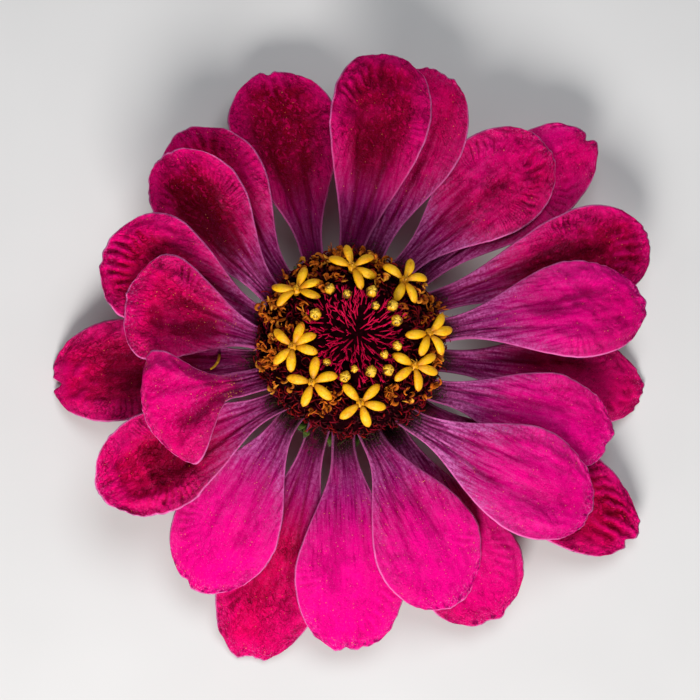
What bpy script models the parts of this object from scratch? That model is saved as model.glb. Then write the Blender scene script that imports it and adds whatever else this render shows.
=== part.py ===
"""A zinnia flower head, nipped off under its calyx and resting face up.

It is built in metres with +Z up. The origin is the centre of the nipped face under the calyx, on the surface
that the flower rests on. Azimuths are in degrees about +Z, counted from +X towards +Y. The pieces are the
calyx cup, its bracts, the ray petals, the cone of packed chaff, and the open and closed florets on that cone.
"""

import math
from typing import NamedTuple

import bmesh
import bpy
from mathutils import Vector

MM = 0.001
GAP = 0.3 * MM  # between each piece and what carries it

# The calyx cup, from the nipped stalk up to the rim that carries the petals.
STALK_RADIUS = 2.9 * MM
STALK_HEIGHT = 1.2 * MM
CUP_RADIUS = 9.6 * MM
CUP_HEIGHT = 11.2 * MM
CUP_FULLNESS = 0.62  # under 1 the cup swells early, over 1 it flares late

# The bracts, in two rows on the outside of the cup.
BRACTS_IN_ROW = 6
BRACT_THICKNESS = 0.7 * MM
BRACT_FLARE = 2.6 * MM  # how far an upper bract's tip leans out past the cup's own line

# The cone of chaff: a neck that the petals' claws stand round, then an overhanging skirt and a dome.
NECK_RADIUS = 10.0 * MM
CONE_RADIUS = 12.0 * MM
SKIRT_HEIGHT = 16.0 * MM
SKIRT_DEPTH = 1.2 * MM
CONE_TOP = 23.2 * MM
CONE_FULLNESS = 0.6  # 0.5 makes the dome an ellipsoid, and more makes its shoulder fall away sooner
CONE_SIDES = 24

# The petals' shared shape. Their own measures are in PETALS.
CLAW_START = 10.3 * MM
CLAW_TURN = 0.2  # share of the length over which a claw turns from square to the cone onto its own line
CLAW_HALF_WIDTH = 1.55 * MM
CLAW_CHANNEL = 0.45 * MM  # how far a claw's edges stand above its midline
CLAW_HALF_THICKNESS = 0.42 * MM
BLADE_HALF_THICKNESS = 0.27 * MM
TIP_TAPER = 0.36  # share of the width that is lost at the tip's corners
TIP_ROUND = 0.07  # share of the length by which the tip's corners stand back
ALONG = (0, 0.09, 0.2, 0.32, 0.44, 0.56, 0.67, 0.78, 0.88, 0.96, 1)
ACROSS = (-1, -0.82, -0.45, 0, 0.45, 0.82, 1)

# The open florets, five-lobed stars on short tubes, and the closed ones among them.
LOBE_SECTIONS = (  # distance from the throat, half width, half thickness and rise of each section, in mm
    (1.45, 0.40, 0.36, 0.14),
    (2.2, 0.60, 0.40, 0.24),
    (2.85, 0.50, 0.32, 0.22),
    (3.3, 0.2, 0.12, 0.10),
)
THROAT_RADIUS = 0.68 * MM
THROAT_HALF_DEPTH = 0.36 * MM
TUBE_RADIUS = 0.5 * MM
BUD_SECTIONS = ((0, 0.42), (0.6, 0.62), (1.25, 0.86), (1.8, 0.74), (2.15, 0.34))  # height and radius, in mm
BUD_LOBES = 5
BUD_SIDES = 10


class Petal(NamedTuple):
    """One ray petal. Lengths are in millimetres and angles in degrees."""

    base: float  # azimuth at which the claw leaves the cone
    tip: float  # azimuth of the tip
    reach: float  # plan distance of the tip from the flower's axis
    width: float  # at the widest
    heights: tuple  # of the midline, from the claw to the tip in four equal steps
    bow: float = 0  # sideways bow of the midline in plan, anticlockwise if positive
    cup: float = 0  # how far the blade's edges stand above its midline
    roll: float = 0  # turn of the blade about its midline, right edge up if positive
    neck: float = 0.1  # share of the length at which the claw starts to widen
    widest: float = 0.69  # share of the length at which it is widest


# Clockwise from the one at the top.
PETALS = (
    Petal(base=92, tip=81.5, reach=41.9, width=14, heights=(13.6, 15.6, 16.2, 14.8, 11.6),
          cup=0.9, roll=-3, neck=0.02),
    Petal(base=77, tip=71.5, reach=41.9, width=13.2, heights=(12.8, 14, 13.9, 12.2, 9.2),
          cup=0.7, roll=-6, widest=0.66),
    Petal(base=59, tip=47, reach=41, width=14.6, heights=(12.8, 13, 11.9, 10.4, 8.4),
          bow=0.4, cup=0.6, roll=-4),
    Petal(base=47, tip=43, reach=47.6, width=13.2, heights=(11.9, 11.2, 9.5, 7.9, 6.4), cup=0.3),
    Petal(base=31, tip=22, reach=46.6, width=13.8, heights=(12.8, 13, 11.6, 9.2, 6.2),
          cup=0.4, roll=-7, widest=0.74),
    Petal(base=10, tip=10.5, reach=41.6, width=13.9, heights=(13.5, 15, 14.9, 13, 9.4), cup=-0.4, roll=3),
    Petal(base=353, tip=356, reach=42.9, width=12.8, heights=(11.9, 10.8, 8.2, 4.8, 0.2), cup=-0.2),
    Petal(base=330, tip=343.5, reach=38.2, width=12.8, heights=(12.8, 13.4, 12.4, 10.6, 7.4), cup=-0.3),
    Petal(base=305, tip=328, reach=39, width=14.8, heights=(13.6, 15, 14.5, 12.6, 9), bow=-1, cup=-0.3),
    Petal(base=317, tip=329.5, reach=47.2, width=13.8, heights=(11.9, 11, 8.9, 6, 2.4), cup=-0.2),
    Petal(base=298, tip=301, reach=41, width=15.2, heights=(12.2, 11.4, 9.6, 6.8, 3.2),
          cup=-0.3, widest=0.79),
    Petal(base=280, tip=293.8, reach=36.4, width=15, heights=(13.5, 14.4, 13.4, 11.1, 7.4),
          cup=-0.5, roll=4),
    Petal(base=265, tip=272, reach=39.6, width=14.9, heights=(12.8, 13, 11.2, 8.2, 4), cup=-0.5, roll=-2),
    Petal(base=250, tip=253, reach=42.4, width=14.2, heights=(11.9, 10.8, 8.2, 4.6, 0.2), cup=-0.2),
    Petal(base=230, tip=238.5, reach=37, width=14.4, heights=(12.8, 13.2, 11.9, 9.2, 5.4),
          bow=-0.6, cup=-0.5, roll=-4),
    Petal(base=221, tip=211, reach=37.8, width=13.6, heights=(13.3, 14.3, 13.3, 12, 12.2), cup=1.9, roll=4),
    Petal(base=203, tip=203, reach=28.4, width=15.8, heights=(13.5, 17.4, 22, 22.8, 18.5),
          cup=-0.8, neck=0.38, widest=0.86),
    Petal(base=190, tip=184, reach=39.6, width=14.2, heights=(11.9, 10.8, 8.4, 5, 0.2), cup=0.3),
    Petal(base=179, tip=171, reach=29.8, width=14.6, heights=(13.6, 16.2, 18, 18.4, 17.6),
          cup=0.3, widest=0.8),
    Petal(base=165, tip=160, reach=34.4, width=15.4, heights=(13, 14.7, 16.1, 16.3, 16),
          cup=1, widest=0.74),
    Petal(base=149, tip=133, reach=35.4, width=12.8, heights=(12.9, 13.7, 13.5, 13, 13.2),
          bow=0.8, cup=1.2),
    Petal(base=136, tip=126.5, reach=37.4, width=14.4, heights=(12.4, 12.3, 11.5, 10.3, 9.4),
          bow=0.4, cup=0.8),
    Petal(base=114, tip=104, reach=41.6, width=15.4, heights=(12.3, 11.5, 9.8, 7.6, 5.4),
          cup=0.3, widest=0.74),
)


class Floret(NamedTuple):
    """One open floret: where its throat is, in plan, and which way each lobe points, in degrees."""

    azimuth: float
    radius: float  # in millimetres
    lobes: tuple
    tube: float = 1.2  # length under the throat, in millimetres


OPEN_FLORETS = (
    Floret(azimuth=93, radius=8.2, lobes=(102, 32, -24, -71, -206)),
    Floret(azimuth=49, radius=9.0, lobes=(71, 10, -65, -116, -215)),
    Floret(azimuth=1, radius=8.6, lobes=(54, 13, -56, -113, -172), tube=2.0),
    Floret(azimuth=-28, radius=8.1, lobes=(28, -15, -79, -143, -204), tube=0.9),
    Floret(azimuth=-86, radius=8.4, lobes=(46, -10, -70, -141, -226)),
    Floret(azimuth=-131, radius=8.0, lobes=(79, 14, -41, -112, -189)),
    Floret(azimuth=-167, radius=7.8, lobes=(67, 25, -15, -95, -140, -222)),
    Floret(azimuth=143, radius=8.9, lobes=(72, 18, -22, -139, -192)),
)

# The closed florets: azimuth in degrees, radius in millimetres, and size against the largest.
BUDS = (
    (159, 5.4, 1.0),
    (122, 6.1, 0.9),
    (105, 4.7, 0.8),
    (70, 5.2, 1.0),
    (37, 5.3, 1.0),
    (16, 4.9, 1.0),
    (-19, 5.1, 0.85),
    (-51, 5.9, 1.0),
    (-72, 5.1, 1.0),
    (-105, 5.7, 0.95),
    (-40, 4.3, 0.7),
    (-134, 5.3, 0.65),
    (55, 3.9, 0.7),
    (-94, 4.6, 0.65),
)


def clear_scene():
    for obj in list(bpy.data.objects):
        bpy.data.objects.remove(obj, do_unlink=True)


def material(name, colour, roughness):
    made = bpy.data.materials.new(name)
    made.use_nodes = True
    shader = made.node_tree.nodes["Principled BSDF"]
    shader.inputs["Base Color"].default_value = (*colour, 1)
    shader.inputs["Roughness"].default_value = roughness
    shader.inputs["Metallic"].default_value = 0
    return made


def polar(radius, azimuth, height=0.0):
    turn = math.radians(azimuth)
    return Vector((radius * math.cos(turn), radius * math.sin(turn), height))


def between(a, b, share):
    return a + (b - a) * share


def smooth(share):
    share = min(max(share, 0), 1)
    return share * share * (3 - 2 * share)


def through(values, share):
    """The value at share on a smooth curve through evenly spaced values."""
    step = min(int(share * (len(values) - 1)), len(values) - 2)
    s = share * (len(values) - 1) - step
    b, c = values[step], values[step + 1]
    a = values[step - 1] if step else 2 * b - c
    d = values[step + 2] if step + 2 < len(values) else 2 * c - b
    return b + s * (c - a + s * (2 * a - 5 * b + 4 * c - d + s * (3 * (b - c) + d - a))) / 2


def add_object(name, mesh_data, surface):
    """An object from a bmesh of one closed body, with its faces turned outwards."""
    bmesh.ops.recalc_face_normals(mesh_data, faces=mesh_data.faces)
    mesh = bpy.data.meshes.new(name)
    mesh_data.to_mesh(mesh)
    mesh_data.free()
    mesh.materials.append(surface)
    mesh.shade_smooth()
    obj = bpy.data.objects.new(name, mesh)
    bpy.context.scene.collection.objects.link(obj)
    return obj


def ring_solid(name, rings, surface):
    """A closed body through rings of equally many points, with a flat cap at each end."""
    body = bmesh.new()
    loops = [[body.verts.new(point) for point in ring] for ring in rings]
    count = len(rings[0])
    for low, high in zip(loops, loops[1:]):
        for i in range(count):
            j = (i + 1) % count
            body.faces.new((low[i], low[j], high[j], high[i]))
    body.faces.new(reversed(loops[0]))
    body.faces.new(loops[-1])
    return add_object(name, body, surface)


def turned(name, profile, sides, surface):
    """A solid of revolution about +Z from (radius, height) pairs that run upwards."""
    rings = [[polar(radius, 360 * i / sides, height) for i in range(sides)] for radius, height in profile]
    return ring_solid(name, rings, surface)


def thin_shell(name, grid, half_thickness, surface):
    """A leaf-like solid round a grid of midsurface points. It thins to one edge all round."""
    body = bmesh.new()
    last_row, last_column = len(grid) - 1, len(grid[0]) - 1
    upper, lower = [], []
    for r, row in enumerate(grid):
        upper.append([])
        lower.append([])
        for c, point in enumerate(row):
            if r in (0, last_row) or c in (0, last_column):
                edge = body.verts.new(point)
                upper[r].append(edge)
                lower[r].append(edge)
                continue
            along = grid[r + 1][c] - grid[r - 1][c]
            across = row[c + 1] - row[c - 1]
            offset = across.cross(along).normalized() * half_thickness(r, c)
            upper[r].append(body.verts.new(point + offset))
            lower[r].append(body.verts.new(point - offset))
    for r in range(last_row):
        for c in range(last_column):
            for sheet in (upper, lower):
                body.faces.new((sheet[r][c], sheet[r][c + 1], sheet[r + 1][c + 1], sheet[r + 1][c]))
    return add_object(name, body, surface)


def cup_radius(height):
    """The calyx cup's outside radius at a height."""
    share = max(height - STALK_HEIGHT, 0) / (CUP_HEIGHT - STALK_HEIGHT)
    return between(STALK_RADIUS, CUP_RADIUS, math.sin(math.pi / 2 * share) ** CUP_FULLNESS if share else 0)


def make_calyx_cup(surface):
    shares = (0, 0.04, 0.12, 0.25, 0.45, 0.7, 1)
    heights = [between(STALK_HEIGHT, CUP_HEIGHT, share) for share in shares]
    profile = [(STALK_RADIUS, 0)] + [(cup_radius(height), height) for height in heights]
    return turned("calyx_cup", profile, CONE_SIDES, surface)


def make_bract(name, azimuth, low, high, offset, flare, surface):
    """One scale of the calyx, lying along the cup at a distance offset outside it."""
    half_angle = 180 / BRACTS_IN_ROW - 1.5
    shares = (0, 0.12, 0.35, 0.6, 0.82, 1)
    grid = []
    for t in shares:
        height = between(low, high, t)
        radius = cup_radius(height) + offset + flare * t**3
        spread = half_angle * (1 - 0.55 * t**3)
        row = []
        for u in (-1, -0.7, 0, 0.7, 1):
            drop = (high - low) * 0.16 * u * u * t * t
            row.append(polar(radius, azimuth + u * spread, height - drop))
        grid.append(row)
    return thin_shell(name, grid, lambda r, c: BRACT_THICKNESS / 2, surface)


def make_bracts(surface):
    step = 360 / BRACTS_IN_ROW
    inner = GAP + BRACT_THICKNESS / 2 + 0.15 * MM
    for i in range(BRACTS_IN_ROW):
        make_bract(f"upper_bract_{i + 1}", step * i, 3.4 * MM, 11.2 * MM, inner, BRACT_FLARE, surface)
        outer = inner + 2 * GAP + BRACT_THICKNESS
        make_bract(f"lower_bract_{i + 1}", step * (i + 0.5), 1.9 * MM, 6.4 * MM, outer, 0.4 * MM, surface)


def dome_height(radius):
    return SKIRT_HEIGHT + (CONE_TOP - SKIRT_HEIGHT) * max(1 - (radius / CONE_RADIUS) ** 2, 0) ** CONE_FULLNESS


def dome_normal(radius, azimuth):
    step = 0.05 * MM
    fall = (dome_height(radius - step) - dome_height(radius + step)) / (2 * step)
    return polar(fall, azimuth, 1).normalized()


def make_chaff_cone(surface):
    low = CUP_HEIGHT + GAP
    neck_top = SKIRT_HEIGHT - SKIRT_DEPTH
    profile = [(NECK_RADIUS, low), (NECK_RADIUS, neck_top)]
    for share in (0.9, 1, 0.965, 0.88, 0.76, 0.6, 0.42, 0.22, 0.06):
        radius = CONE_RADIUS * share
        profile.append((radius, dome_height(radius) if len(profile) > 2 else SKIRT_HEIGHT - SKIRT_DEPTH * 0.7))
    return turned("chaff_cone", profile, CONE_SIDES, surface)


def half_width(petal, t):
    widest = petal.width * MM / 2
    if t < petal.widest:
        return between(CLAW_HALF_WIDTH, widest, smooth((t - petal.neck) / (petal.widest - petal.neck)))
    return widest * (1 - TIP_TAPER * ((t - petal.widest) / (1 - petal.widest)) ** 2)


def midline(petal, t):
    base = polar(CLAW_START, petal.base)
    tip = polar(petal.reach * MM, petal.tip)
    chord = tip - base
    side = Vector((-chord.y, chord.x, 0)).normalized()
    bend = (base + tip) / 2 + side * 2 * petal.bow * MM
    plan = base * (1 - t) ** 2 + bend * 2 * t * (1 - t) + tip * t**2
    return plan + Vector((0, 0, through(petal.heights, t) * MM))


def petal_point(petal, t, u):
    """The midsurface at share t along the petal and u across it, from -1 at its right to 1 at its left."""
    stand_back = t - TIP_ROUND * u * u * t**4
    here = midline(petal, stand_back)
    along = (midline(petal, min(stand_back + 0.01, 1)) - midline(petal, max(stand_back - 0.01, 0))).normalized()
    along = between(polar(1, petal.base), along, smooth(t / CLAW_TURN)).normalized()
    level = Vector((-along.y, along.x, 0)).normalized()
    above = along.cross(level)
    roll = -math.radians(petal.roll) * smooth(t / petal.widest)
    side = level * math.cos(roll) + above * math.sin(roll)
    face = above * math.cos(roll) - level * math.sin(roll)
    cup = between(CLAW_CHANNEL, petal.cup * MM, smooth(t / petal.widest))
    return here + side * u * half_width(petal, t) + face * cup * (u * u - 1 / 3)


def make_petal(name, petal, surface):
    grid = [[petal_point(petal, t, -u) for u in ACROSS] for t in ALONG]

    def half_thickness(r, c):
        along = between(CLAW_HALF_THICKNESS, BLADE_HALF_THICKNESS, smooth(ALONG[r] / 0.4))
        return along * (1 - ACROSS[c] ** 4) ** 0.5

    return thin_shell(name, grid, half_thickness, surface)


def floret_frame(azimuth, radius, length):
    """(foot, foot's normal, throat, axis) of a floret that stands on the cone and faces partly upwards."""
    ground = polar(radius * MM, azimuth, dome_height(radius * MM))
    normal = dome_normal(radius * MM, azimuth)
    axis = (normal + Vector((0, 0, 1.2))).normalized()
    foot = ground + normal * GAP
    return foot, normal, foot + axis * length * MM, axis


def across_axis(axis, azimuth):
    """The unit vector square to axis that points towards an azimuth."""
    out = polar(1, azimuth)
    return (out - axis * out.dot(axis)).normalized()


def make_open_floret(name, floret, surface):
    foot, normal, throat, axis = floret_frame(floret.azimuth, floret.radius, floret.tube)
    lobes = floret.lobes
    round_again = (*lobes[1:], lobes[0] - 360)
    corners = [(azimuth + following) / 2 for azimuth, following in zip(lobes, round_again)]
    body = bmesh.new()

    def ring(centre, square_to, radius):
        return [body.verts.new(centre + across_axis(square_to, turn) * radius) for turn in corners]

    tube_foot = ring(foot, normal, TUBE_RADIUS)
    low = ring(throat - axis * THROAT_HALF_DEPTH, axis, THROAT_RADIUS)
    high = ring(throat + axis * THROAT_HALF_DEPTH, axis, THROAT_RADIUS)
    mouth = ring(throat + axis * THROAT_HALF_DEPTH * 0.6, axis, THROAT_RADIUS * 0.5)
    body.faces.new(tube_foot)
    body.faces.new(mouth)
    for i in range(len(lobes)):
        j = (i + 1) % len(lobes)
        body.faces.new((tube_foot[i], tube_foot[j], low[j], low[i]))
        body.faces.new((high[i], high[j], mouth[j], mouth[i]))
        section = (low[i], low[j], high[j], high[i])
        out = across_axis(axis, lobes[j])
        side = axis.cross(out)
        for distance, half_wide, half_thick, rise in LOBE_SECTIONS:
            centre = throat + out * distance * MM + axis * rise * MM
            wide = side * half_wide * MM
            thick = axis * half_thick * MM
            corners_out = (wide - thick, -wide - thick, thick - wide, wide + thick)
            new = [body.verts.new(centre + corner) for corner in corners_out]
            for k in range(4):
                m = (k + 1) % 4
                body.faces.new((section[k], section[m], new[m], new[k]))
            section = new
        body.faces.new(section)
    return add_object(name, body, surface)


def make_bud(name, azimuth, radius, size, surface):
    foot, normal, _, axis = floret_frame(azimuth, radius, 0)
    rings = []
    for height, wide in BUD_SECTIONS:
        square_to = normal if height == 0 else axis
        middle = foot + axis * height * size * MM
        ring = []
        for i in range(BUD_SIDES):
            turn = 360 * i / BUD_SIDES
            lobed = 1 + 0.09 * math.cos(math.radians(turn * BUD_LOBES))
            ring.append(middle + across_axis(square_to, turn) * wide * lobed * size * MM)
        rings.append(ring)
    return ring_solid(name, rings, surface)


def main():
    clear_scene()
    green = material("calyx_green", (0.10, 0.20, 0.05), 0.6)
    magenta = material("petal_magenta", (0.75, 0.01, 0.22), 0.55)
    chaff = material("chaff_crimson", (0.14, 0.01, 0.02), 0.8)
    yellow = material("floret_yellow", (0.9, 0.55, 0.03), 0.6)
    make_calyx_cup(green)
    make_bracts(green)
    make_chaff_cone(chaff)
    for i, petal in enumerate(PETALS, start=1):
        make_petal(f"ray_petal_{i:02d}", petal, magenta)
    for i, floret in enumerate(OPEN_FLORETS, start=1):
        make_open_floret(f"open_floret_{i}", floret, yellow)
    for i, (azimuth, radius, size) in enumerate(BUDS, start=1):
        make_bud(f"bud_{i:02d}", azimuth, radius, size, yellow)


main()
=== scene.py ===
import math
import bmesh
import bpy
import numpy as np
from mathutils import Matrix, Vector
from mathutils.bvhtree import BVHTree


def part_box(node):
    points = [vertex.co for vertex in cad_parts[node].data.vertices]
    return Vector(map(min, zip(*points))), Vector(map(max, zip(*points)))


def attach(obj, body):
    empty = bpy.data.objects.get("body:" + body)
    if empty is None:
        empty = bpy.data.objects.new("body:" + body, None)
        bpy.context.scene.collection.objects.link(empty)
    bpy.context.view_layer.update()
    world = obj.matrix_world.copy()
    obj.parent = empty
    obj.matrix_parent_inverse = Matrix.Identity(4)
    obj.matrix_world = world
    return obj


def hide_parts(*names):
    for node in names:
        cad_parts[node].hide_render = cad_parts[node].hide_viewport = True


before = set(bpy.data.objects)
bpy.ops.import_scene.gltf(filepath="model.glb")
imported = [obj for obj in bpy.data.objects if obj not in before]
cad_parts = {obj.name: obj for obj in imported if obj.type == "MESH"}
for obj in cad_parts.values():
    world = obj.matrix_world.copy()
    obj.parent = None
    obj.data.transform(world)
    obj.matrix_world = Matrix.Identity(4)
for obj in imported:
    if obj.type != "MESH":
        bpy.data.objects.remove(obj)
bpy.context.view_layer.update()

MM = 0.001
TURN = 2 * math.pi
GOLDEN_ANGLE = math.pi * (3 - math.sqrt(5))

# The camera looks down on the flower from a little in front of it, through a long lens.
CAMERA_AZIMUTH = -29
CAMERA_ELEVATION = 78
CAMERA_DISTANCE = 0.256
CAMERA_AIM = Vector((0.0002, -0.0004, 0.013))
CAMERA_LENS = 100

FLOOR_HALF = 2.0  # m

# Petals.
PETALS = 23
ROWS = 112  # of vertices along a petal
COLUMNS = 53  # of vertices across a petal
CLAW_RIBS = 3.5  # ribs on each half of a claw
WRINKLE_SPACING = 1.05  # mm between the wrinkles that run in from the rim
COMB_SPACING = 0.55  # mm between the finer furrows beside them
USUAL_CREASING = 0.75
RIM_ANGLE = math.radians(70)  # between faces of a CAD petal, at its rim
SKIN_DEPTH = 0.28  # mm of relief that is only in the material

# Strands on the disc, with plan radii on its dome and heights on its side in mm.
SCALE_TIPS = 215
TIP_SPACING = 0.4
FRINGE_STRANDS = 2100
FRINGE_ON_DOME = 0.68  # the share of them that isn't on the side
FRINGE_RADII = (6.4, 11.8)
FRINGE_HEIGHTS = (15.2, 16.8)
HEM_STRANDS = 520
HEM_HEIGHTS = (15.2, 16.0)

# Small things by the claws' feet, with places as shares of a petal's length.
LEAF_TIP_PLACES = 90
HAIRY_AT = 0.09
LONG_HAIRS = 4  # to a petal
SHORT_HAIRS = 22
DROPPED_STYLE_AT = 0.21


# ---- numbers


def smooth(low, high, x):
    x = np.clip((x - low) / (high - low), 0, 1)
    return x * x * (3 - 2 * x)


def hashed(a, b, seed):
    """A repeatable number from 0 to 1 for each pair of whole numbers."""
    mixed = np.sin(a * 127.1 + b * 311.7 + seed * 74.7) * 43758.5453
    return mixed - np.floor(mixed)


def value_noise(x, y, seed=0, octaves=3):
    """Smooth noise from about -1 to 1 that changes over a distance of 1."""
    total, size = np.zeros(np.broadcast(x, y).shape), 1.0
    for octave in range(octaves):
        a, b = np.floor(x), np.floor(y)
        p, q = smooth(0, 1, x - a), smooth(0, 1, y - b)
        turn = seed + 13 * octave
        low = hashed(a, b, turn) * (1 - p) + hashed(a + 1, b, turn) * p
        high = hashed(a, b + 1, turn) * (1 - p) + hashed(a + 1, b + 1, turn) * p
        total += size * (2 * (low * (1 - q) + high * q) - 1)
        x, y, size = x * 2.03 + 5.1, y * 2.03 + 1.7, size * 0.5
    return total / 1.5


def spline_weights(knots, where):
    """How much each knot counts, for each place, on the natural cubic spline through the knots."""
    count = len(knots)
    steps = np.diff(knots)
    left, right = np.zeros((count, count)), np.zeros((count, count))
    left[0, 0] = left[-1, -1] = 1
    for i in range(1, count - 1):
        left[i, i - 1 : i + 2] = steps[i - 1], 2 * (steps[i - 1] + steps[i]), steps[i]
        right[i, i - 1] = 6 / steps[i - 1]
        right[i, i + 1] = 6 / steps[i]
        right[i, i] = -right[i, i - 1] - right[i, i + 1]
    curve = np.linalg.solve(left, right)
    span = np.clip(np.searchsorted(knots, where, side="right") - 1, 0, count - 2)
    step = steps[span]
    b = (where - knots[span]) / step
    a = 1 - b
    each = np.eye(count)
    bend_a = ((a**3 - a) * step**2 / 6)[:, None] * curve[span]
    bend_b = ((b**3 - b) * step**2 / 6)[:, None] * curve[span + 1]
    return a[:, None] * each[span] + b[:, None] * each[span + 1] + bend_a + bend_b


# ---- pieces


def placed(name, data):
    """A new object in the scene."""
    made = bpy.data.objects.new(name, data)
    bpy.context.scene.collection.objects.link(made)
    return made


def piece(name, points, faces, material, nodes=(), layers=None):
    """A smooth-shaded mesh that rides on the flower. layers is {name: three numbers for each point}."""
    mesh = bpy.data.meshes.new(name)
    mesh.from_pydata([tuple(p) for p in np.asarray(points).tolist()], [], faces)
    for layer, values in (layers or {}).items():
        values = np.asarray(values, dtype=np.float32)
        mesh.attributes.new(layer, "FLOAT_VECTOR", "POINT").data.foreach_set("vector", values.ravel())
    mesh.materials.append(material)
    mesh.shade_smooth()
    made = placed(name, mesh)
    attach(made, "root")
    if nodes:
        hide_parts(*nodes)


def welded(node):
    """A bmesh of a CAD node with its split vertices joined."""
    body = bmesh.new()
    body.from_mesh(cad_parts[node].data)
    bmesh.ops.remove_doubles(body, verts=body.verts, dist=0.005 * MM)
    return body


def refined(name, node, material, levels, change=None, measure=None):
    """A rounded copy of a CAD node. change moves its points, and measure gives a layer for the material."""
    body = welded(node)
    any_angle = math.pi
    bmesh.ops.join_triangles(
        body, faces=body.faces, angle_face_threshold=any_angle, angle_shape_threshold=any_angle
    )
    rough = bpy.data.meshes.new(name)
    body.to_mesh(rough)
    body.free()
    carrier = placed(name, rough)
    rounder = carrier.modifiers.new("rounder", "SUBSURF")
    rounder.levels = rounder.render_levels = levels
    fine = bpy.data.meshes.new_from_object(carrier.evaluated_get(bpy.context.evaluated_depsgraph_get()))
    points, normals = np.empty((2, len(fine.vertices), 3))
    fine.vertices.foreach_get("co", points.reshape(-1))
    fine.vertices.foreach_get("normal", normals.reshape(-1))
    faces = [tuple(face.vertices) for face in fine.polygons]
    bpy.data.objects.remove(carrier, do_unlink=True)
    if change:
        points = change(points, normals)
    layers = {"measure": measure(points)} if measure else None
    piece(name, points, faces, material, [node], layers)


class Tangle:
    """Many tapering strands and flakes gathered into one mesh."""

    def __init__(self):
        self.points, self.faces, self.along, self.hue = [], [], [], []

    def strand(self, spine, radii, hue, sides=5, flat=1.0, face=None):
        """A tube along spine, flattened across the direction face where flat is under 1."""
        spine = np.asarray(spine)
        count = len(spine)
        ahead = np.gradient(spine, axis=0)
        ahead /= np.linalg.norm(ahead, axis=1)[:, None] + 1e-12
        guide = np.asarray(face if face is not None else (0.3, 0.5, 0.81))
        side = np.cross(ahead, guide)
        side /= np.linalg.norm(side, axis=1)[:, None] + 1e-12
        up = np.cross(side, ahead)
        first = len(self.points)
        for i in range(count):
            for k in range(sides):
                turn = TURN * k / sides
                offset = side[i] * math.cos(turn) + up[i] * math.sin(turn) * flat
                self.points.append(spine[i] + offset * radii[i])
                self.along.append(i / (count - 1))
                self.hue.append(hue)
        for i in range(count - 1):
            for k in range(sides):
                a, b = first + i * sides + k, first + i * sides + (k + 1) % sides
                self.faces.append((a, b, b + sides, a + sides))
        self.faces.append(tuple(first + k for k in reversed(range(sides))))
        self.faces.append(tuple(first + (count - 1) * sides + k for k in range(sides)))

    def build(self, name, material, slot=None, nodes=()):
        layers = {"measure": np.column_stack([self.along, self.hue, np.zeros(len(self.hue))])}
        piece(name, self.points, self.faces, material, nodes, layers)


# ---- materials


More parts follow.
